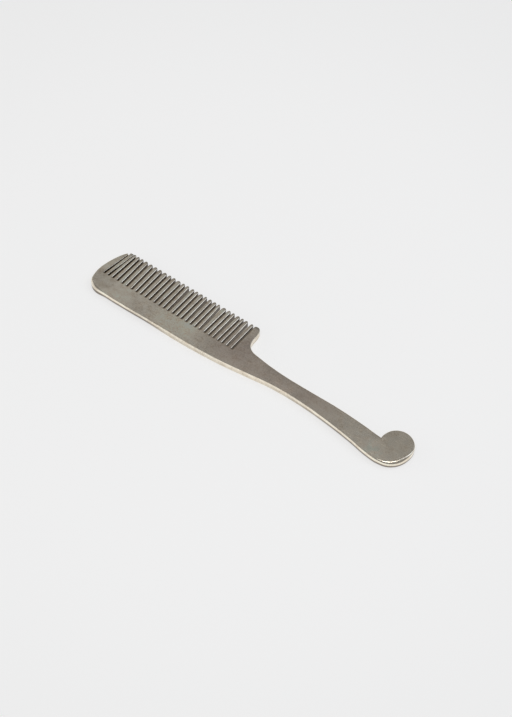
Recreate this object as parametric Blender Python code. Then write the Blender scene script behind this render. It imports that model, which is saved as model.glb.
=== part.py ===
"""A flat metal grooming comb: a back with a sawn row of teeth, a slim handle and a round end disc.

The plan is drawn in millimetres, with x along the comb from its rounded front end and y towards the
tooth tips. Each named piece of the plan is raised to the thickness of the plate, and its outside
edges are softened. The real comb is sawn from one plate, so the pieces meet flush along straight
seams, and only their outside edges are softened. The origin is the middle of the underside.
"""

import math
import random

import bmesh
import bpy
from mathutils import Vector
from mathutils.geometry import interpolate_bezier

MM = 0.001

# The plate.
PLATE_THICKNESS = 2.3
EDGE_SOFTNESS = 0.2
EDGE_SEGMENTS = 2
SPAN_STEPS = 5

# The slots, from the front end to the handle. The saw leaves them a little uneven.
SLOT_COUNT = 29
SLOT_WIDTH = 0.5
SLOT_ROOT_STEPS = 6
FIRST_SLOT_X = 2.06
FIRST_PITCH = 1.74
LAST_PITCH = 1.61
SAW_SEED = 420336
SAW_WANDER = 0.14
SAW_TILT = 1.1

# How far each slot leans towards the handle, in degrees. The first ones fan out further.
FRONT_LEAN = 2.8
REAR_LEAN = 5.5
FAN_LEAN = 9.6
FAN_SLOTS = 4
FAN_POWER = 1.1

# Some teeth have been bent together or apart, so these slots, by number from 0, have lost or gained
# this share of their width at the tips. Teeth beside a lost width end blunter and flatter.
WIDTH_CHANGES = {0: -0.75, 1: -0.85, 5: 0.2, 14: 0.8, 18: 0.5, 21: 0.9, 24: 0.5, 27: 0.9}
BEND_LENGTH = 10.3
PINCH_BLUNTING = 0.6
PINCH_FLATTENING = 0.6

# The lines that the slot roots and the tooth tips follow, each as a height at x = 0 and a slope.
# The tips drop a little, as a square of the distance, round the comb's front corner.
ROOT_HEIGHT = 7.85
ROOT_SLOPE = -0.0495
TIP_HEIGHT = 18.52
TIP_SLOPE = -0.0535
TIP_CORNER_X = 8.0
TIP_CORNER_DROP = 0.03
TIP_STEPS = 8
TIP_BLUNTNESS = 1.05

# The end disc.
DISC_CENTRE = Vector((105.1, 3.27))
DISC_RADIUS = 4.92
DISC_STEPS = 26
NOTCH_ANGLE = 183.0

# The front and lower outline, from the tip of the front guard round to the disc's right side.
# Each stretch goes on from the last knot of the one before it.
FRONT_GUARD_TIP_REACH = 9.2
FRONT_GUARD_KNOTS = [(3.84, 17.34), (3.3, 16.86), (2.45, 15.6), (1.23, 13.0), (0.25, 10.0), (-0.1, 7.9)]
BACK_KNOTS = [
    (-0.05, 5.6), (0.55, 3.4), (2.3, 1.88), (7.1, 1.28), (24.0, 0.52), (38.0, -0.12), (49.3, 0.02),
]
NECK_LOWER_KNOTS = [(56.5, 0.5), (65.0, 1.07)]
HANDLE_LOWER_KNOTS = [(74.0, 0.72), (84.0, -0.56), (93.0, -2.23), (99.1, -3.66), (102.6, -4.02), (105.9, -3.42)]
DISC_LOWER_KNOTS = [(108.3, -1.6), (109.55, 0.7), (110.02, 3.27)]

# The upper outline, from the notch beside the disc back to the slot beside the rear guard.
HANDLE_UPPER_KNOTS = [(93.0, 4.08), (84.0, 4.95), (75.0, 5.32), (65.0, 5.98)]
NECK_UPPER_KNOTS = [(58.0, 7.07), (54.4, 8.0), (53.0, 9.3), (52.65, 10.8)]
REAR_GUARD_KNOTS = [(52.65, 13.7), (52.3, 15.05), (51.45, 15.85)]
REAR_GUARD_TIP_REACH = 9.8

STEEL_COLOUR = (0.27, 0.25, 0.22, 1.0)
STEEL_ROUGHNESS = 0.34


def clear_scene():
    for thing in list(bpy.data.objects):
        bpy.data.objects.remove(thing, do_unlink=True)


def upright(lean_degrees):
    """The direction towards the tooth tips, leaning towards the handle."""
    lean = math.radians(lean_degrees)
    return Vector((math.sin(lean), math.cos(lean)))


def smooth_runs(stretches, start, end):
    """One smooth curve through lists of knots, cut into one run of points for each list.

    A list goes on from the last knot of the list before it. start and end are the directions in
    which the curve leaves its first knot and reaches its last one.
    """
    knots = [Vector(knot) for stretch in stretches for knot in stretch]
    steps = [(after - before).normalized() for before, after in zip(knots, knots[1:])]
    middle = [(before + after).normalized() for before, after in zip(steps, steps[1:])]
    directions = [start, *middle, end]
    runs = []
    first = 0
    last = len(stretches[0]) - 1
    for following in [*stretches[1:], []]:
        run = [knots[first]]
        for i in range(first, last):
            reach = (knots[i + 1] - knots[i]).length / 3
            leaving = knots[i] + directions[i] * reach
            arriving = knots[i + 1] - directions[i + 1] * reach
            run += interpolate_bezier(knots[i], leaving, arriving, knots[i + 1], SPAN_STEPS + 1)[1:]
        runs.append(run)
        first = last
        last += len(following)
    return runs


def round_the_disc(from_degrees, to_degrees):
    """Points along the disc's edge."""
    points = []
    for i in range(DISC_STEPS + 1):
        angle = math.radians(from_degrees + (to_degrees - from_degrees) * i / DISC_STEPS)
        points.append(DISC_CENTRE + DISC_RADIUS * Vector((math.cos(angle), math.sin(angle))))
    return points


class Slot:
    """A saw cut with a round root. Its walls start level with the middle of that round."""

    def __init__(self, root_x, lean_degrees, width_change):
        self.width_change = width_change
        self.direction = upright(lean_degrees)
        self.across = Vector((self.direction.y, -self.direction.x)) * (SLOT_WIDTH / 2)
        root = Vector((root_x, ROOT_HEIGHT + ROOT_SLOPE * root_x))
        self.middle = root + self.direction * (SLOT_WIDTH / 2)

    def half_width(self, reach):
        return self.across * (1 + self.width_change * reach / BEND_LENGTH)

    def front_wall(self, reach=0.0):
        return self.middle - self.half_width(reach) + self.direction * reach

    def rear_wall(self, reach=0.0):
        return self.middle + self.half_width(reach) + self.direction * reach

    def root(self, from_degrees=0.0, to_degrees=180.0):
        """Points round the root, from the rear wall at 0 degrees to the front wall at 180."""
        count = round(SLOT_ROOT_STEPS * (to_degrees - from_degrees) / 180.0)
        points = []
        for i in range(count + 1):
            angle = math.radians(from_degrees + (to_degrees - from_degrees) * i / count)
            points.append(
                self.middle
                + self.across * math.cos(angle)
                - self.direction * (SLOT_WIDTH / 2) * math.sin(angle)
            )
        return points


def saw_slots():
    """Every slot from the front end to the handle, with the small unevenness of sawing by hand."""
    chance = random.Random(SAW_SEED)
    slots = []
    root_x = FIRST_SLOT_X
    for i in range(SLOT_COUNT):
        along = i / (SLOT_COUNT - 1)
        wander = SAW_WANDER * (2 * chance.random() - 1)
        tilt = SAW_TILT * (2 * chance.random() - 1)
        fan = FAN_LEAN * max(0.0, 1 - i / FAN_SLOTS) ** FAN_POWER
        lean = FRONT_LEAN + (REAR_LEAN - FRONT_LEAN) * along + fan + tilt
        slots.append(Slot(root_x + wander, lean, WIDTH_CHANGES.get(i, 0.0)))
        root_x += FIRST_PITCH + (LAST_PITCH - FIRST_PITCH) * i / (SLOT_COUNT - 2)
    return slots


def tip_height(x):
    """How far out the tooth tips reach. They drop a little round the comb's front corner."""
    return TIP_HEIGHT + TIP_SLOPE * x - TIP_CORNER_DROP * max(0.0, TIP_CORNER_X - x) ** 2


def tooth(before, after):
    """The outline of the tooth between two slots."""
    foot = (before.rear_wall() + after.front_wall()) / 2
    direction = (before.direction + after.direction).normalized()
    tip_x = foot.x + direction.x * (TIP_HEIGHT - foot.y)
    length = (tip_height(tip_x) - foot.y) / direction.y
    pinch = max(0.0, -before.width_change, -after.width_change)
    flat = PINCH_FLATTENING * pinch
    bluntness = TIP_BLUNTNESS * (1 - PINCH_BLUNTING * pinch)
    cap = bluntness * (after.front_wall(length) - before.rear_wall(length)).length / 2
    rear_shoulder = after.front_wall(length - cap)
    front_shoulder = before.rear_wall(length - cap)
    middle = (rear_shoulder + front_shoulder) / 2
    across = (rear_shoulder - front_shoulder) / 2
    tip = []
    half = TIP_STEPS // 2
    for i in range(TIP_STEPS + 1):
        angle = math.pi * i / TIP_STEPS
        side = (i < half) - (i > half)
        sideways = flat * side + (1 - flat) * math.cos(angle)
        tip.append(middle + across * sideways + direction * cap * math.sin(angle))
    return [
        ([before.rear_wall(), after.front_wall()], False),
        ([after.front_wall(), *tip, before.rear_wall()], True),
    ]


def plan_pieces():
    """The outline of every piece, counter-clockwise, in stretches of (points, softened or not)."""
    slots = saw_slots()
    first, last = slots[0], slots[-1]
    front_tip = first.front_wall(FRONT_GUARD_TIP_REACH)
    rear_tip = last.rear_wall(REAR_GUARD_TIP_REACH)
    front_edge, back_edge, neck_lower, handle_lower, disc_lower = smooth_runs(
        [
            [front_tip, *FRONT_GUARD_KNOTS],
            BACK_KNOTS,
            NECK_LOWER_KNOTS,
            HANDLE_LOWER_KNOTS,
            DISC_LOWER_KNOTS,
        ],
        first.direction,
        Vector((0, 1)),
    )
    disc_upper = round_the_disc(0.0, NOTCH_ANGLE)
    notch = disc_upper[-1]
    handle_upper, neck_upper, rear_edge = smooth_runs(
        [
            [notch, *HANDLE_UPPER_KNOTS],
            NECK_UPPER_KNOTS,
            [*REAR_GUARD_KNOTS, rear_tip],
        ],
        (Vector(HANDLE_UPPER_KNOTS[0]) - notch).normalized(),
        -last.direction,
    )
    guard_seam_reach = (neck_upper[-1].y - last.middle.y) / last.direction.y
    guard_foot = last.rear_wall(guard_seam_reach)
    last_root = last.root()
    halfway = SLOT_ROOT_STEPS // 2

    tooth_seams = []
    for before, after in reversed(list(zip(slots, slots[1:]))):
        tooth_seams.append(([after.front_wall(), before.rear_wall()], False))
        tooth_seams.append((before.root(), True))

    pieces = {
        "front_guard": [
            ([front_edge[-1], first.front_wall()], False),
            ([first.front_wall(), *front_edge], True),
        ],
        "comb_back": [
            (back_edge, True),
            ([back_edge[-1], last_root[halfway]], False),
            (last_root[halfway:], True),
            *tooth_seams,
            ([first.front_wall(), back_edge[0]], False),
        ],
        "neck": [
            (neck_lower, True),
            ([neck_lower[-1], neck_upper[0]], False),
            (neck_upper, True),
            ([neck_upper[-1], guard_foot], False),
            ([guard_foot, *last_root[: halfway + 1]], True),
            ([last_root[halfway], neck_lower[0]], False),
        ],
        "rear_guard": [
            ([guard_foot, rear_edge[0]], False),
            ([*rear_edge, guard_foot], True),
        ],
        "handle": [
            (handle_lower, True),
            ([handle_lower[-1], handle_upper[0]], False),
            (handle_upper, True),
            ([handle_upper[-1], handle_lower[0]], False),
        ],
        "end_disc": [
            ([*disc_lower, *disc_upper[1:]], True),
            ([notch, disc_lower[0]], False),
        ],
    }
    for number, (before, after) in enumerate(zip(slots, slots[1:]), start=1):
        pieces[f"tooth_{number:02d}"] = tooth(before, after)
    return pieces


def steel(name):
    """Worn, slightly warm steel."""
    material = bpy.data.materials.new(name + "_steel")
    material.use_nodes = True
    shader = material.node_tree.nodes["Principled BSDF"]
    shader.inputs["Base Color"].default_value = STEEL_COLOUR
    shader.inputs["Metallic"].default_value = 1.0
    shader.inputs["Roughness"].default_value = STEEL_ROUGHNESS
    material.diffuse_color = STEEL_COLOUR
    return material


def plate_mesh(name, stretches, centre):
    """The piece's outline raised to the plate's thickness, with a weight on each edge to soften."""
    mesh = bmesh.new()
    weight = mesh.edges.layers.float.new("bevel_weight_edge")
    outline = [point for points, softened in stretches for point in points[:-1]]
    softened_sides = [softened for points, softened in stretches for point in points[:-1]]
    bottom = [mesh.verts.new(((p - centre) * MM).to_3d()) for p in outline]
    rise = Vector((0, 0, PLATE_THICKNESS * MM))
    top = [mesh.verts.new(vert.co + rise) for vert in bottom]
    mesh.faces.new(reversed(bottom))
    mesh.faces.new(top)
    for i, softened in enumerate(softened_sides):
        j = (i + 1) % len(outline)
        mesh.faces.new((bottom[i], bottom[j], top[j], top[i]))
        for ring in (bottom, top):
            mesh.edges.get((ring[i], ring[j]))[weight] = float(softened)
    data = bpy.data.meshes.new(name)
    mesh.to_mesh(data)
    mesh.free()
    data.shade_smooth()
    data.set_sharp_from_angle(angle=math.radians(35))
    return data


def build_piece(name, stretches, origin, comb):
    """One plate piece, as an object whose own origin is the middle of its outline."""
    points = [point for run, softened in stretches for point in run[:-1]]
    centre = sum(points, Vector((0, 0))) / len(points)
    piece = bpy.data.objects.new(name, plate_mesh(name, stretches, centre))
    bpy.context.scene.collection.objects.link(piece)
    piece.data.materials.append(steel(name))
    piece.parent = comb
    piece.location = ((centre - origin) * MM).to_3d()
    soften = piece.modifiers.new("soft_edges", "BEVEL")
    soften.limit_method = "WEIGHT"
    soften.offset_type = "OFFSET"
    soften.width = EDGE_SOFTNESS * MM
    soften.segments = EDGE_SEGMENTS
    soften.use_clamp_overlap = False
    return piece


def build_comb():
    clear_scene()
    pieces = plan_pieces()
    plan = [point for stretches in pieces.values() for run, softened in stretches for point in run]
    low = Vector((min(p.x for p in plan), min(p.y for p in plan)))
    high = Vector((max(p.x for p in plan), max(p.y for p in plan)))
    comb = bpy.data.objects.new("comb", None)
    bpy.context.scene.collection.objects.link(comb)
    for name, stretches in pieces.items():
        build_piece(name, stretches, (low + high) / 2, comb)


build_comb()
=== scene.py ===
import math

import bmesh
import bpy
import numpy as np
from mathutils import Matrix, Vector, noise


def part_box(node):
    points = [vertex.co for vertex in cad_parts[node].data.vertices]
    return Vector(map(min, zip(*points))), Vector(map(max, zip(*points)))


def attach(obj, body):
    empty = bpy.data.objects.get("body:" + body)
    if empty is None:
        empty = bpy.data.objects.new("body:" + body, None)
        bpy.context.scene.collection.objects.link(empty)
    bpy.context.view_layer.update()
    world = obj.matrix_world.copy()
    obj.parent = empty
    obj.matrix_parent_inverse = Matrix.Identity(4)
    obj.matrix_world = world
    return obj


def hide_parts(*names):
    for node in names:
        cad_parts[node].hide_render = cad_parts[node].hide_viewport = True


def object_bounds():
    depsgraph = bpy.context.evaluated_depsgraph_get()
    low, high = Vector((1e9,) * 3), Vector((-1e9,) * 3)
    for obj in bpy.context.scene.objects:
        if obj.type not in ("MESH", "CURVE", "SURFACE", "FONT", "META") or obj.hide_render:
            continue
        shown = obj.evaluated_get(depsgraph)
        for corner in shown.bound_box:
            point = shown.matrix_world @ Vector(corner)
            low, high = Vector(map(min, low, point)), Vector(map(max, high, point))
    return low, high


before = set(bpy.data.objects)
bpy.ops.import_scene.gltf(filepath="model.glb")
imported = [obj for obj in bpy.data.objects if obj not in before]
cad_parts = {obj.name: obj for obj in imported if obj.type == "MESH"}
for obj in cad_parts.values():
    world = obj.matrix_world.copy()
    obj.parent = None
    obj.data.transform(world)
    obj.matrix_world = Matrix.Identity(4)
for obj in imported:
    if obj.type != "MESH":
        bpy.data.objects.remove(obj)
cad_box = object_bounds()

MM = 0.001

# The CAD plate: its thickness, and the height where its wall gives way to the softened upper edge.
PLATE = max(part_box(name)[1][2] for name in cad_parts)
WALL_TOP = PLATE - 0.2 * MM
LEVEL_SLACK = 0.01 * MM
CORNER_SLACK = 0.01 * MM
PLACE_DIGITS = 4
UPWARD = 0.1

# How finely the outline is redrawn.
LONGEST_STEP = 0.6 * MM
WIDEST_TURN = math.radians(7)
STRAIGHT_RATIO = 3.0
SHARP_TURN = math.radians(40)

# The edge rounding, lower then upper: how far it reaches in and how far it goes up or down.
SLOT_ROUND = ((0.26 * MM, 0.26 * MM), (0.45 * MM, 0.21 * MM))
FRONT_ROUND = ((0.48 * MM, 1.15 * MM), (0.30 * MM, 1.00 * MM))
NECK_ROUND = ((0.20 * MM, 0.35 * MM), (0.35 * MM, 1.35 * MM))
CORNER_ROUND = ((0.18 * MM, 0.30 * MM), (1.10 * MM, 1.05 * MM))
DISC_ROUND = ((0.30 * MM, 0.35 * MM), (1.75 * MM, 1.68 * MM))
BACK_ROUND = ((0.25 * MM, 0.30 * MM), (0.26 * MM, 0.28 * MM))
ROUND_STEPS = 8

# Inside the rounding the face is very slightly crowned: how far in and how far down.
SLOT_CROWN = (0.15 * MM, 0.025 * MM)
OUTSIDE_CROWN = (1.3 * MM, 0.065 * MM)
CROWN_STEPS = 4

# Which rounding an edge has. An edge that looks towards the front is fully rounded, by the cosine to
# it. The disc's middle is given from the right and upper sides of its box, the front corner's from the
# left and lower sides of the head, and the neck's rounding from the neck's front and rear sides.
FRONT = np.array([0.25, -0.97])
FACING_RANGE = (-0.05, 0.8)
DISC_MIDDLE = np.array([4.9, 6.2]) * MM
DISC_SPREAD = 5.5 * MM
CORNER_MIDDLE = np.array([2.6, 2.6]) * MM
CORNER_SPREAD = 3.4 * MM
NECK_START = (-28 * MM, -18 * MM)
NECK_END = (-2 * MM, 26 * MM)
SPREAD_POWER = 4

# The radius of the room in front of an edge, in a slot, in the open and in a pinched slot. Over how
# many points it is averaged, and the radius that stands for no limit.
NARROW_SLOT = 0.3 * MM
OPEN_SPACE = 1.6 * MM
PINCHED_SLOT = 0.24 * MM
LEAST_PINCH = 0.15
OPENNESS_BLUR = 3
WIDTH_BLUR = 2
LEAST_DEPTH = 1e-6 * MM
NO_LIMIT = 1.0

# The rounding and the crown take up no more than this of the metal's half-width.
MOST_OF_WIDTH = 0.94
WIDEST_ROOM = 3 * MM
DROP_KEPT = 1.3

# Near a slanting seam the rounding slides along the edge, over this many times its own reach.
LONGEST_SLIDE = 6.0
LEAST_LEAN = 0.02

# The outside edges wander in and out by this much, over this length.
EDGE_WANDER = 0.022 * MM
WANDER_LENGTH = 2.3 * MM

# Grime and painted shade darken the slots' walls from a little under the upper edge, and stop above their
# foot.
GRIME_AND_SHADE_DEPTH = 0.15 * MM
GRIME_AND_SHADE_START = 0.25
GRIME_AND_SHADE_FOOT = (0.15, 0.75)
GRIME_AND_SHADE_COVER = 0.95
GRIME_AND_SHADE_COLOUR = (0.060, 0.042, 0.030, 1.0)
# Painted shade darkens the teeth towards their tips, in the same colour: how much, and where it starts and is
# full, in millimetres inside the tips' line.
TIP_PAINTED_SHADE = 0.35
TIP_FADE = (1.3, 0.2)

# The lower part of the outside walls gets painted shade, the dark reflection of the crevice under the comb:
# its top, its soft upper edge and its colour.
SHADE_TOP = 1.68 * MM
DISC_SHADE_TOP = 1.15 * MM
SHADE_FADE = 0.5 * MM
NECK_SHADE_LOSS = 0.75
SHADE_COVER = 0.9
SHADE_COLOUR = (0.13, 0.10, 0.078, 1.0)

# The steel's colour, and its dark, light and brown tones as shares of it.
STEEL_TINT = (0.92, 0.85, 0.72)
DARK_TONE = (0.78, 0.78, 0.78)
LIGHT_TONE = (1.20, 1.20, 1.20)
BROWN_TONE = (0.60, 0.52, 0.44)

# The noises in the steel, per millimetre: scale, layers, strength of the finer layers and warp.
CLOUD = (0.055, 3.0, 0.5, 0.4)
BLOTCH = (0.42, 4.0, 0.62)
GRAIN = (2.1, 3.0, 0.6)
SPECK = (1.35, 2.0, 0.45)
CLOUD_RANGE = (0.36, 0.66)
BLOTCH_RANGE = (0.35, 0.72)
GRAIN_RANGE = (0.3, 0.75)
SPECK_RANGE = (0.66, 0.74)
BLOTCH_COVER = 0.62
GRAIN_COVER = 0.64
SPECK_COVER = 0.55
SCRATCH_COVER = 0.52

# The scratches: their turn in radians, length and width in millimetres, and how rare they are.
SCRATCHES = [(0.03, 9.0, 0.09, 0.56), (0.62, 5.0, 0.07, 0.60), (-0.85, 4.0, 0.06, 0.61)]
SCRATCH_SOFTNESS = 0.07
SCRATCH_SHIFT = (1.0 * MM, 0.7 * MM)
SCRATCHED_SCALE = 0.35
SCRATCHED_RANGE = (0.42, 0.6)
SCRATCHED_SHIFT = 3 * MM

# How rough the steel is, and what scratches, grime and the rubbed edges do to it.
ROUGH_RANGE = (0.3, 0.72)
ROUGHNESS = (0.25, 0.44)
SCRATCH_ROUGHNESS = 0.10
GRIME_ROUGHNESS = 0.25
EDGE_POLISH = 0.75
EDGE_FADE_POWER = 0.5

# The relief of blotches, grain, scratches and specks, and how much of it shows off the edges.
BLOTCH_RELIEF = 0.5
GRAIN_RELIEF = 0.12
SCRATCH_RELIEF = 0.10
SPECK_RELIEF = 0.12
RELIEF = 0.4
RELIEF_POWER = 3.0
RELIEF_HEIGHT = 0.05 * MM

# Broad patches of the face made lighter or darker, partly worn tone and partly painted reflection: the middle
# and half-size in millimetres, and the tone. The core is the share of the half-size within which a patch has
# its full tone.
WEAR_AND_SHEEN_PATCHES = [
    ((-51.5, -1.8), (6.5, 5.0), (0.88, 0.88, 0.88, 1.0)),
    ((-52.0, 6.5), (5.5, 6.5), (1.10, 1.10, 1.09, 1.0)),
    ((-25.0, -3.5), (10.0, 9.0), (1.20, 1.19, 1.17, 1.0)),
    ((9.0, -2.0), (31.0, 15.0), (0.88, 0.84, 0.845, 1.0)),
    ((-6.0, 0.0), (9.0, 8.0), (0.90, 0.885, 0.89, 1.0)),
    ((26.0, -5.0), (14.0, 9.0), (0.89, 0.89, 0.89, 1.0)),
    ((50.5, -4.0), (7.5, 7.5), (0.86, 0.855, 0.84, 1.0)),
]
PATCH_CORE = 0.35

# The floor lies a hair below the comb. It glows a little, and a little more in a broad patch.
FLOOR_SIZE = 0.6
FLOOR_LEVEL = -0.05 * MM
FLOOR_COLOUR = (0.50, 0.498, 0.491, 1.0)
FLOOR_ROUGHNESS = 0.9
FLOOR_GLOW = 0.565
FLOOR_PATCH = ((-20.0, 10.0), (190.0, 190.0))
FLOOR_PATCH_GLOW = 0.035

# The lights, all one metre away: direction, width, height, radiance and colour.
LIGHT_DISTANCE = 1.0
LIGHTS = {
    "key_light": ((0.21, -0.27, 0.94), 0.65, 0.26, 4.2, (1.0, 1.0, 1.0)),
    "front_light": ((-0.90, -0.36, 0.28), 2.0, 0.54, 0.55, (1.0, 1.0, 1.0)),
    "right_light": ((0.52, 0.45, 0.70), 0.6, 0.6, 1.1, (0.80, 0.87, 1.0)),
    "left_light": ((-0.50, 0.40, 0.77), 0.5, 0.4, 0.12, (1.0, 1.0, 1.0)),
}
ROOM_COLOUR = (0.225, 0.225, 0.228, 1.0)

# The brown card: its middle, its half-width along the floor, its height and its colours.
CARD_MIDDLE = np.array([-0.643, 0.766]) * 1.1
CARD_ACROSS = np.array([0.766, 0.643]) * 0.7
CARD_HEIGHT = 0.75
CARD_COLOUR = (0.035, 0.030, 0.026, 1.0)
CARD_GLOW = (0.20, 0.168, 0.135, 1.0)

# The camera: the point it looks at and its place from there.
CAMERA_LENS = 85.0
CAMERA_SENSOR = 36.0
NEAREST_SEEN = 0.01
CAMERA_TARGET = Vector((1.81 * MM, -0.75 * MM, PLATE))
CAMERA_OFFSET = Vector((153.8, -233.3, 391.8)) * MM


def mix(a, b, t):
    """a where t is 0 and b where t is 1."""
    return a + (b - a) * t


def smooth_step(values, low, high):
    """0 below the low value and 1 above the high one, with a smooth rise between them."""
    t = np.clip((values - low) / (high - low), 0.0, 1.0)
    return t * t * (3.0 - 2.0 * t)


# ---------------------------------------------------------------- the outline, read from the CAD nodes


def rim_runs(name):
    """The runs of outside edge of one CAD node, in plan, counter-clockwise and from seam to seam."""
    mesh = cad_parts[name].data
    places = {}
    following = {}
    for face in mesh.polygons:
        if face.normal.z < UPWARD:
            continue
        corners = [mesh.vertices[i].co for i in face.vertices]
        for start, end in zip(corners, corners[1:] + corners[:1]):
            if abs(start.z - WALL_TOP) < LEVEL_SLACK and abs(end.z - WALL_TOP) < LEVEL_SLACK:
                a = (round(start.x / MM, PLACE_DIGITS), round(start.y / MM, PLACE_DIGITS))
                b = (round(end.x / MM, PLACE_DIGITS), round(end.y / MM, PLACE_DIGITS))
                places[a] = start.xy
                places[b] = end.xy
                following[a] = b
    runs = []
    for first in sorted(set(following) - set(following.values())):
        run = [first]
        while run[-1] in following:
            run.append(following[run[-1]])
        runs.append([places[key] for key in run])
    return runs


def whole_outline():
    """The comb's outline as one closed loop of plan points, with the node that each run belongs to."""
    runs = [(name, run) for name in sorted(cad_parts) for run in rim_runs(name)]
    chain = [runs.pop(0)]
    while runs:
        end = chain[-1][1][-1]
        nearest = min(range(len(runs)), key=lambda i: (runs[i][1][0] - end).length)
        if (runs[nearest][1][0] - end).length > CORNER_SLACK:
            raise RuntimeError(f"the outline breaks off after {chain[-1][0]}")
        chain.append(runs.pop(nearest))
    points = []
    spans = []
    for name, run in chain:
        spans.append((name, len(points), len(points) + len(run) - 1))
        points += [tuple(p) for p in run[:-1]]
    return np.array(points), spans


def tangents_of(points):
    """The direction of the loop at each point, as of the circle through it and its neighbours."""
    after = np.roll(points, -1, axis=0) - points
    length_after = np.linalg.norm(after, axis=1)
    after = after / length_after[:, None]
    before = np.roll(after, 1, axis=0)
    length_before = np.roll(length_after, 1)
    weight_after = length_before / (length_before + length_after)
    weight_after[length_after > STRAIGHT_RATIO * length_before] = 1.0
    weight_after[length_before > STRAIGHT_RATIO * length_after] = 0.0
    turn = np.abs(np.arctan2(
        before[:, 0] * after[:, 1] - before[:, 1] * after[:, 0], (before * after).sum(axis=1)
    ))
    blend = before * (1 - weight_after)[:, None] + after * weight_after[:, None]
    blend /= np.linalg.norm(blend, axis=1)[:, None]
    sharp = turn > SHARP_TURN
    arriving = np.where(sharp[:, None], before, blend)
    leaving = np.where(sharp[:, None], after, blend)
    return arriving, leaving, sharp


def redraw(points, spans):
    """The same loop with more points, on smooth curves through the given ones."""
    arriving, leaving, sharp = tangents_of(points)
    fine = []
    new_place = []
    count = len(points)
    for i in range(count):
        j = (i + 1) % count
        start, end = points[i], points[j]
        length = np.linalg.norm(end - start)
        chord = (end - start) / length
        turn = math.acos(min(1.0, leaving[i] @ chord)) + math.acos(min(1.0, arriving[j] @ chord))
        steps = max(1, math.ceil(length / LONGEST_STEP), math.ceil(turn / WIDEST_TURN))
        new_place.append(len(fine))
        for k in range(steps):
            t = k / steps
            fine.append(
                start * (1 + t * t * (2 * t - 3))
                + end * (t * t * (3 - 2 * t))
                + leaving[i] * length * t * (1 - t) ** 2
                - arriving[j] * length * t * t * (1 - t)
            )
    new_place.append(len(fine))
    corners = [place for place, is_sharp in zip(new_place, sharp) if is_sharp]
    return np.array(fine), [(name, new_place[a], new_place[b]) for name, a, b in spans], corners


def outward_normals(points, corners):
    """The outward direction at each point, before and after it. They differ only at a sharp corner."""
    after = np.roll(points, -1, axis=0) - points
    after /= np.linalg.norm(after, axis=1)[:, None]
    before = np.roll(after, 1, axis=0)
    along = before + after
    along /= np.linalg.norm(along, axis=1)[:, None]
    arriving = along.copy()
    leaving = along.copy()
    arriving[corners] = before[corners]
    leaving[corners] = after[corners]
    return [np.stack([d[:, 1], -d[:, 0]], axis=1) for d in (arriving, leaving)]


def clear_radius(points, towards):
    """The radius of the largest circle that touches the loop at each point, on the side given."""
    radius = np.empty(len(points))
    for i, (point, direction) in enumerate(zip(points, towards)):
        offset = points - point
        depth = offset @ direction
        ahead = depth > LEAST_DEPTH
        squares = (offset[ahead] ** 2).sum(axis=1)
        radius[i] = (squares / (2 * depth[ahead])).min() if ahead.any() else NO_LIMIT
    return radius


def average_along(values, reach):
    """A weighted average over neighbours on the loop."""
    total = values.copy()
    weights = 1.0
    for shift in range(1, reach + 1):
        weight = 1 - shift / (reach + 1)
        total += weight * (np.roll(values, shift) + np.roll(values, -shift))
        weights += 2 * weight
    return total / weights


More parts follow.
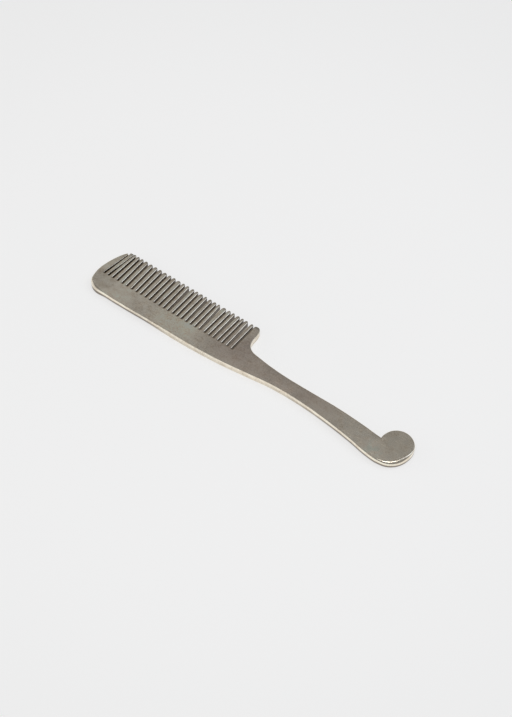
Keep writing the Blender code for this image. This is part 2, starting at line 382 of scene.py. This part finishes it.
class Rim:
    """The comb's redrawn outline, with the shape of the edge rounding at each of its points."""

    def __init__(self):
        coarse, spans = whole_outline()
        self.points, self.spans, corners = redraw(coarse, spans)
        self.arriving, self.leaving = outward_normals(self.points, corners)
        self.corners = [
            (name, self.points[place % len(self.points)])
            for name, start, end in self.spans for place in (start, end)
        ]
        outward = self.arriving + self.leaving
        outward /= np.linalg.norm(outward, axis=1)[:, None]
        inside = clear_radius(self.points, -outward)
        outside = clear_radius(self.points, outward)
        openness = average_along(smooth_step(outside, NARROW_SLOT, OPEN_SPACE), OPENNESS_BLUR)
        near_disc = self.nearness(np.array(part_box("end_disc")[1][:2]) - DISC_MIDDLE, DISC_SPREAD)
        corner = np.array([cad_box[0][0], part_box("comb_back")[0][1]])
        near_corner = self.nearness(corner + CORNER_MIDDLE, CORNER_SPREAD)
        facing = smooth_step(outward @ FRONT, *FACING_RANGE)
        pinch = np.clip(average_along(outside, WIDTH_BLUR) / PINCHED_SLOT, LEAST_PINCH, 1.0)
        room = MOST_OF_WIDTH * average_along(np.minimum(inside, WIDEST_ROOM), WIDTH_BLUR)
        self.shade_top = mix(SHADE_TOP, DISC_SHADE_TOP, near_disc)
        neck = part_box("neck")
        along = self.points[:, 0]
        near_neck = smooth_step(along - neck[0][0], *NECK_START)
        near_neck *= 1 - smooth_step(along - neck[1][0], *NECK_END)
        self.reach = np.empty((2, len(self.points)))
        self.drop = np.empty((2, len(self.points)))
        for side in (0, 1):
            for k, target in enumerate((self.reach, self.drop)):
                size = np.full(len(self.points), FRONT_ROUND[side][k])
                size = mix(size, NECK_ROUND[side][k], near_neck)
                size = mix(size, CORNER_ROUND[side][k], near_corner)
                size = mix(size, DISC_ROUND[side][k], near_disc)
                size = mix(BACK_ROUND[side][k], size, facing)
                target[side] = mix(SLOT_ROUND[side][k] * pinch, size, openness)
        self.shade = openness * (1 - NECK_SHADE_LOSS * near_neck)
        crown_reach = mix(SLOT_CROWN[0], OUTSIDE_CROWN[0], openness)
        crown_drop = mix(SLOT_CROWN[1], OUTSIDE_CROWN[1], openness)
        squeeze = np.minimum(1.0, room / (self.reach.max(axis=0) + crown_reach))
        self.reach *= squeeze
        self.drop *= np.minimum(1.0, DROP_KEPT * squeeze)
        self.crown_reach = crown_reach * squeeze
        self.crown_drop = crown_drop * squeeze
        self.openness = openness
        wander = np.array([noise.noise(Vector((*p, 0.0)) / WANDER_LENGTH) for p in self.points])
        self.points = self.points + outward * (wander * EDGE_WANDER * openness)[:, None]
        self.slide = self.slides()

    def nearness(self, middle, spread):
        """1 at the rim's points near a place in plan and 0 far from it."""
        distance = np.linalg.norm(self.points - middle, axis=1)
        return np.exp(-((distance / spread) ** SPREAD_POWER))

    def slides(self):
        """How far each point moves along the rim for each step inwards, so that the seams stay straight."""
        count = len(self.points)
        steps = np.linalg.norm(np.roll(self.points, -1, axis=0) - self.points, axis=1)
        slide = np.zeros(count)
        for name, start, end in self.spans:
            place = end % count
            other = seam_partner(self.points[place], name, self.corners)
            towards = other - self.points[place]
            outward = self.arriving[place]
            lean = (towards @ np.array([-outward[1], outward[0]])) / -(outward @ towards)
            if abs(lean) < LEAST_LEAN or (self.arriving[place] != self.leaving[place]).any():
                continue
            falloff = LONGEST_SLIDE * abs(lean) * (self.reach[:, place].max() + self.crown_reach[place])
            for way in (1, -1):
                travelled = 0.0
                at = place
                while travelled < falloff:
                    slide[at] = lean * (1 - travelled / falloff) ** 2
                    travelled += steps[at if way > 0 else at - 1]
                    at = (at + way) % count
        return slide

    def profile(self, index, side, level):
        """How far in and down a point of the rounding lies, and its slope as (outward, up)."""
        reach = self.reach[side, index]
        drop = self.drop[side, index]
        whole = reach + self.crown_reach[index]
        if level <= ROUND_STEPS:
            angle = math.pi / 2 * (1 - level / ROUND_STEPS)
            inset = reach * (1 - math.sin(angle))
            down = drop * (1 - math.cos(angle))
            tilt = Vector((math.sin(angle) * drop, math.cos(angle) * reach))
        else:
            inset = mix(reach, whole, (level - ROUND_STEPS) / CROWN_STEPS)
            down = 0.0
            tilt = Vector((0.0, 1.0))
        left = 1 - inset / whole
        down += self.crown_drop[index] * left ** 2
        tilt.normalize()
        tilt += Vector((2 * self.crown_drop[index] * left / whole * tilt.y, 0.0))
        return inset, down, tilt.normalized()


# ---------------------------------------------------------------- the pieces


def seam_partner(corner, name, corners):
    """The other end of the seam that starts at this corner of the node."""

    def meets(a, b):
        return np.linalg.norm(a - b) < 2 * CORNER_SLACK

    neighbour = next(owner for owner, place in corners if owner != name and meets(place, corner))
    theirs = [place for owner, place in corners if owner == neighbour]
    shared = [
        place for owner, place in corners
        if owner == name and any(meets(place, other) for other in theirs)
    ]
    return max(shared, key=lambda place: np.linalg.norm(place - corner))


def loop_of(name, rim):
    """The node's outline as (plan point, outward, inward slide, rim index), and where its seams are."""
    mine = [(start, end) for owner, start, end in rim.spans if owner == name]
    count = len(rim.points)
    loop = []
    seams = []
    start, end = mine[0]
    while mine:
        mine.remove((start, end))
        for i in range(start, end + 1):
            place = i % count
            outward = rim.arriving[place] if i == end else rim.leaving[place]
            inward = -outward + rim.slide[place] * np.array([-outward[1], outward[0]])
            if i in (start, end):
                other = seam_partner(rim.points[place], name, rim.corners)
                towards = other - rim.points[place]
                inward = towards / -(outward @ towards)
            loop.append((rim.points[place], outward, inward, place))
        seams.append(len(loop) - 1)
        if mine:
            other = seam_partner(rim.points[end % count], name, rim.corners)
            start, end = min(mine, key=lambda span: np.linalg.norm(rim.points[span[0] % count] - other))
    return loop, seams


def fine_piece(name, rim):
    """A closed solid with the node's outline, whose outside edges are rounded above and below."""
    loop, seams = loop_of(name, rim)
    levels = range(ROUND_STEPS + CROWN_STEPS + 1)
    mesh = bmesh.new()
    grime_and_shade = mesh.verts.layers.float.new("grime_and_shade")
    edge = mesh.verts.layers.float.new("edge")
    under = mesh.verts.layers.float.new("under")
    directions = []
    rings = []
    for upper in (False, True):
        side = []
        for level in (levels if upper else reversed(levels)):
            ring = []
            for place, outward, slide, index in loop:
                inset, down, tilt = rim.profile(index, int(upper), level)
                spot = place + slide * inset
                height = PLATE - down if upper else down
                vert = mesh.verts.new((spot[0], spot[1], height))
                vert[edge] = max(0.0, 1 - level / (ROUND_STEPS + 1)) ** EDGE_FADE_POWER
                # Grime and painted shade: dark in the narrow slots, from a little below the upper edge.
                vert[grime_and_shade] = (1 - rim.openness[index]) * max(0.0, down / GRIME_AND_SHADE_DEPTH - GRIME_AND_SHADE_START)
                # Painted shade, the dark reflection of the crevice under the comb, low on the outside walls.
                below = rim.shade_top[index] - height
                if upper or level < levels[-1]:
                    vert[under] = rim.shade[index] * float(smooth_step(below, 0.0, SHADE_FADE))
                up = tilt.y if upper else -tilt.y
                directions.append(Vector((outward[0] * tilt.x, outward[1] * tilt.x, up)))
                ring.append(vert)
            side.append(ring)
        rings += side
    count = len(loop)
    for low, high in zip(rings, rings[1:]):
        for i in range(count):
            j = (i + 1) % count
            if i not in seams:
                mesh.faces.new((low[i], low[j], high[j], high[i])).smooth = True
    for i in seams:
        j = (i + 1) % count
        mesh.faces.new([ring[j] for ring in rings] + [ring[i] for ring in reversed(rings)])
    mesh.faces.new(reversed(rings[0]))
    mesh.faces.new(rings[-1])
    mesh.verts.ensure_lookup_table()
    mesh.verts.index_update()
    data = bpy.data.meshes.new(name + "_fine")
    mesh.to_mesh(data)
    mesh.free()
    corner_normals = []
    for face in data.polygons:
        for vertex in face.vertices:
            corner_normals.append(directions[vertex].normalized() if face.use_smooth else face.normal.copy())
    data.normals_split_custom_set(corner_normals)
    piece = bpy.data.objects.new(name + "_fine", data)
    bpy.context.scene.collection.objects.link(piece)
    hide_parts(name)
    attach(piece, "root")
    return piece


# ---------------------------------------------------------------- materials


class Nodes:
    """A short way to add shader nodes and to join them."""

    def __init__(self, material):
        material.use_nodes = True
        self.tree = material.node_tree
        self.shader = self.tree.nodes["Principled BSDF"]

    def add(self, kind, **inputs):
        node = self.tree.nodes.new(kind)
        for key, value in inputs.items():
            self.put(node, key.replace("_", " "), value)
        return node

    def put(self, node, key, value):
        socket = node.inputs[int(key) if key.isdigit() else key]
        if isinstance(value, bpy.types.NodeSocket):
            self.tree.links.new(value, socket)
        else:
            socket.default_value = value

    def math(self, operation, a, b=0.0, clamp=False):
        node = self.tree.nodes.new("ShaderNodeMath")
        node.operation = operation
        node.use_clamp = clamp
        self.put(node, "0", a)
        self.put(node, "1", b)
        return node.outputs[0]

    def ramp(self, value, low, high, out_low=0.0, out_high=1.0):
        node = self.tree.nodes.new("ShaderNodeMapRange")
        node.interpolation_type = "SMOOTHSTEP"
        self.put(node, "Value", value)
        self.put(node, "From Min", low)
        self.put(node, "From Max", high)
        self.put(node, "To Min", out_low)
        self.put(node, "To Max", out_high)
        return node.outputs["Result"]

    def colour(self, factor, a, b, blend="MIX"):
        node = self.tree.nodes.new("ShaderNodeMix")
        node.data_type = "RGBA"
        node.blend_type = blend
        self.put(node, "Factor", factor)
        for key, value in (("A", a), ("B", b)):
            socket = next(s for s in node.inputs if s.name == key and s.type == "RGBA")
            if isinstance(value, bpy.types.NodeSocket):
                self.tree.links.new(value, socket)
            else:
                socket.default_value = value
        return next(s for s in node.outputs if s.type == "RGBA")

    def place(self, stretch=(1.0, 1.0, 1.0), turn=0.0, shift=(0.0, 0.0, 0.0)):
        """A place in millimetres, shifted, turned about the plate's normal and then stretched."""
        where = self.tree.nodes.new("ShaderNodeTexCoord").outputs["Object"]
        turned = self.add("ShaderNodeMapping", Vector=where, Rotation=(0.0, 0.0, turn), Location=shift)
        scaled = self.add("ShaderNodeMapping", Vector=turned.outputs[0], Scale=[s / MM for s in stretch])
        return scaled.outputs[0]

    def noise(self, where, scale, detail=3.0, roughness=0.55, distortion=0.0):
        node = self.add("ShaderNodeTexNoise", Vector=where, Scale=scale, Detail=detail)
        self.put(node, "Roughness", roughness)
        self.put(node, "Distortion", distortion)
        return node.outputs["Fac"]

    def patch(self, middle, size):
        """1 in the middle of a soft elliptical patch of the face and 0 beyond its edge."""
        shift = (-middle[0] * MM, -middle[1] * MM, 0.0)
        where = self.place((1 / size[0], 1 / size[1], 0.0), 0.0, shift)
        distance = self.tree.nodes.new("ShaderNodeVectorMath")
        distance.operation = "LENGTH"
        self.put(distance, "0", where)
        return self.ramp(distance.outputs["Value"], PATCH_CORE, 1.0, 1.0, 0.0)

    def scratches(self, turn, length, width, share, seed):
        """Thin lines in one direction, in scattered groups: 1 on a line and 0 between them."""
        shift = (seed * SCRATCH_SHIFT[0], seed * SCRATCH_SHIFT[1], 0.0)
        where = self.place((1.0 / length, 1.0 / width, 1.0 / width), turn, shift)
        lines = self.ramp(self.noise(where, 1.0, 1.0, 0.4), share, share + SCRATCH_SOFTNESS)
        where = self.place([SCRATCHED_SCALE] * 3, turn, (seed * SCRATCHED_SHIFT, 0.0, 0.0))
        groups = self.ramp(self.noise(where, 1.0, 2.0), *SCRATCHED_RANGE)
        return self.math("MULTIPLY", lines, groups)

    def attribute(self, name):
        """The value that the piece's corners carry under this name."""
        node = self.tree.nodes.new("ShaderNodeAttribute")
        node.attribute_name = name
        return node.outputs["Fac"]


def tip_line():
    """The line that the tooth tips follow, in millimetres: its height in the middle, and its slope."""
    first, last = (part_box(name)[1] for name in ("tooth_08", "tooth_28"))
    slope = (last[1] - first[1]) / (last[0] - first[0])
    return (last[1] - slope * last[0]) / MM, slope


def toned(tone):
    """The steel's colour in one of its tones."""
    return [tint * share for tint, share in zip(STEEL_TINT, tone)] + [1.0]


def steel(name):
    """Worn satin steel: fine scratches along the comb, odd ones across it, tarnish, specks, grime with
    painted shade in the slots, painted shade at the tooth tips and the walls' foot, and patches of painted
    reflection.
    """
    material = bpy.data.materials.new(name)
    nodes = Nodes(material)
    plain = nodes.place()
    cloud = nodes.noise(plain, *CLOUD)
    blotch = nodes.noise(plain, *BLOTCH)
    grain = nodes.noise(plain, *GRAIN)
    specks = nodes.ramp(nodes.noise(plain, *SPECK), *SPECK_RANGE)
    marks = 0.0
    for seed, scratch in enumerate(SCRATCHES, 1):
        marks = nodes.math("MAXIMUM", nodes.scratches(*scratch, seed), marks)
    edge = nodes.attribute("edge")
    under = nodes.attribute("under")

    light = toned(LIGHT_TONE)
    brown = toned(BROWN_TONE)
    colour = nodes.colour(nodes.ramp(cloud, *CLOUD_RANGE), toned(DARK_TONE), light)
    colour = nodes.colour(nodes.ramp(blotch, *BLOTCH_RANGE, 0.0, BLOTCH_COVER), colour, brown)
    colour = nodes.colour(nodes.ramp(grain, *GRAIN_RANGE, 0.0, GRAIN_COVER), colour, light)
    colour = nodes.colour(nodes.math("MULTIPLY", specks, SPECK_COVER), colour, brown)
    colour = nodes.colour(nodes.math("MULTIPLY", marks, SCRATCH_COVER), colour, light)
    flat = nodes.math("SUBTRACT", 1.0, edge)
    # Painted reflection with some worn tone: broad patches of the flat face made lighter or darker.
    for middle, size, tone in WEAR_AND_SHEEN_PATCHES:
        cover = nodes.math("MULTIPLY", nodes.patch(middle, size), flat)
        colour = nodes.colour(cover, colour, tone, "MULTIPLY")

    where = nodes.tree.nodes.new("ShaderNodeSeparateXYZ")
    nodes.put(where, "Vector", plain)
    # Grime and painted shade on the slots' walls, kept off their foot.
    above_foot = nodes.ramp(where.outputs["Z"], *GRIME_AND_SHADE_FOOT)
    grime_and_shade = nodes.math("MULTIPLY", nodes.math("MINIMUM", nodes.attribute("grime_and_shade"), 1.0), above_foot)
    colour = nodes.colour(nodes.math("MULTIPLY", grime_and_shade, GRIME_AND_SHADE_COVER), colour, GRIME_AND_SHADE_COLOUR)
    # Painted shade towards the tooth tips.
    line, slope = tip_line()
    height_out = nodes.math("SUBTRACT", where.outputs["Y"], nodes.math("MULTIPLY", where.outputs["X"], slope))
    near_tip = nodes.ramp(height_out, line - TIP_FADE[0], line - TIP_FADE[1])
    colour = nodes.colour(nodes.math("MULTIPLY", near_tip, TIP_PAINTED_SHADE), colour, GRIME_AND_SHADE_COLOUR)
    # Painted shade: the lower outside walls darkened like the reflected crevice under the comb.
    painted_foot_shade = nodes.math("MULTIPLY", under, SHADE_COVER, clamp=True)
    colour = nodes.colour(painted_foot_shade, colour, SHADE_COLOUR)
    nodes.put(nodes.shader, "Base Color", colour)
    nodes.put(nodes.shader, "Metallic", 1.0)

    rough = nodes.ramp(blotch, *ROUGH_RANGE, *ROUGHNESS)
    rough = nodes.math("ADD", rough, nodes.math("MULTIPLY", marks, SCRATCH_ROUGHNESS))
    rough = nodes.math("ADD", rough, nodes.math("MULTIPLY", grime_and_shade, GRIME_ROUGHNESS), clamp=True)
    unpolished = nodes.math("SUBTRACT", 1.0, nodes.math("MULTIPLY", edge, EDGE_POLISH))
    nodes.put(nodes.shader, "Roughness", nodes.math("MULTIPLY", rough, unpolished))

    height = nodes.math("MULTIPLY", blotch, BLOTCH_RELIEF)
    height = nodes.math("ADD", height, nodes.math("MULTIPLY", grain, GRAIN_RELIEF))
    height = nodes.math("SUBTRACT", height, nodes.math("MULTIPLY", marks, SCRATCH_RELIEF))
    height = nodes.math("SUBTRACT", height, nodes.math("MULTIPLY", specks, SPECK_RELIEF))
    relief = nodes.math("MULTIPLY", nodes.math("POWER", unpolished, RELIEF_POWER), RELIEF)
    bump = nodes.add("ShaderNodeBump", Strength=relief, Distance=RELIEF_HEIGHT, Height=height)
    nodes.put(nodes.shader, "Normal", bump.outputs[0])
    return material


def floor_material():
    """A plain pale sheet that glows a little, so that it stays even and its shadows stay faint."""
    material = bpy.data.materials.new("pale_floor")
    nodes = Nodes(material)
    nodes.put(nodes.shader, "Base Color", FLOOR_COLOUR)
    nodes.put(nodes.shader, "Roughness", FLOOR_ROUGHNESS)
    nodes.put(nodes.shader, "Specular IOR Level", 0.0)
    nodes.put(nodes.shader, "Emission Color", (1.0, 1.0, 1.0, 1.0))
    glow = nodes.math("MULTIPLY", nodes.patch(*FLOOR_PATCH), FLOOR_PATCH_GLOW)
    nodes.put(nodes.shader, "Emission Strength", nodes.math("ADD", glow, FLOOR_GLOW))
    return material


# ---------------------------------------------------------------- the studio


def pale_floor():
    """The square sheet that the comb lies on."""
    data = bpy.data.meshes.new("floor")
    corners = [(x * FLOOR_SIZE, y * FLOOR_SIZE, FLOOR_LEVEL) for x, y in ((-1, -1), (1, -1), (1, 1), (-1, 1))]
    data.from_pydata(corners, [], [(0, 1, 2, 3)])
    data.materials.append(floor_material())
    floor = bpy.data.objects.new("floor", data)
    bpy.context.scene.collection.objects.link(floor)


def soft_box(name, direction, width, height, glow, colour):
    """A flat rectangular light that faces the comb. glow is its radiance."""
    data = bpy.data.lights.new(name, "AREA")
    data.shape = "RECTANGLE"
    data.size = width
    data.size_y = height
    data.color = colour
    data.energy = glow * math.pi * width * height
    light = bpy.data.objects.new(name, data)
    bpy.context.scene.collection.objects.link(light)
    towards = Vector(direction).normalized()
    light.location = towards * LIGHT_DISTANCE
    light.rotation_euler = towards.to_track_quat("Z", "Y").to_euler()
    light.visible_camera = False


def brown_card():
    """A dim brown card behind and to the left, which the far edges and the teeth's left sides reflect."""
    data = bpy.data.meshes.new("dark_card")
    corners = [
        (*(CARD_MIDDLE + CARD_ACROSS * way), height)
        for way, height in ((-1, 0.0), (1, 0.0), (1, CARD_HEIGHT), (-1, CARD_HEIGHT))
    ]
    data.from_pydata(corners, [], [(0, 1, 2, 3)])
    material = bpy.data.materials.new("dark_card")
    nodes = Nodes(material)
    nodes.put(nodes.shader, "Base Color", CARD_COLOUR)
    nodes.put(nodes.shader, "Roughness", 1.0)
    nodes.put(nodes.shader, "Emission Color", CARD_GLOW)
    nodes.put(nodes.shader, "Emission Strength", 1.0)
    data.materials.append(material)
    card = bpy.data.objects.new("dark_card", data)
    bpy.context.scene.collection.objects.link(card)


def studio():
    """The dim room with its soft lights and the brown card."""
    world = bpy.data.worlds.new("studio")
    bpy.context.scene.world = world
    world.use_nodes = True
    world.node_tree.nodes["Background"].inputs["Color"].default_value = ROOM_COLOUR
    for name, light in LIGHTS.items():
        soft_box(name, *light)
    brown_card()


def camera():
    """The camera, in front of the comb, to the right and well above it."""
    data = bpy.data.cameras.new("camera")
    data.lens = CAMERA_LENS
    data.sensor_width = CAMERA_SENSOR
    data.clip_start = NEAREST_SEEN
    view = bpy.data.objects.new("camera", data)
    bpy.context.scene.collection.objects.link(view)
    view.location = CAMERA_TARGET + CAMERA_OFFSET
    view.rotation_euler = CAMERA_OFFSET.to_track_quat("Z", "Y").to_euler()
    bpy.context.scene.camera = view


def build():
    """One finely drawn piece for each CAD node."""
    rim = Rim()
    body = steel("body_steel")
    tooth = steel("tooth_steel")
    for name in sorted(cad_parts):
        piece = fine_piece(name, rim)
        piece.data.materials.append(tooth if name.startswith("tooth_") else body)


build()
pale_floor()
studio()
camera()
bpy.context.scene.view_settings.view_transform = "Standard"
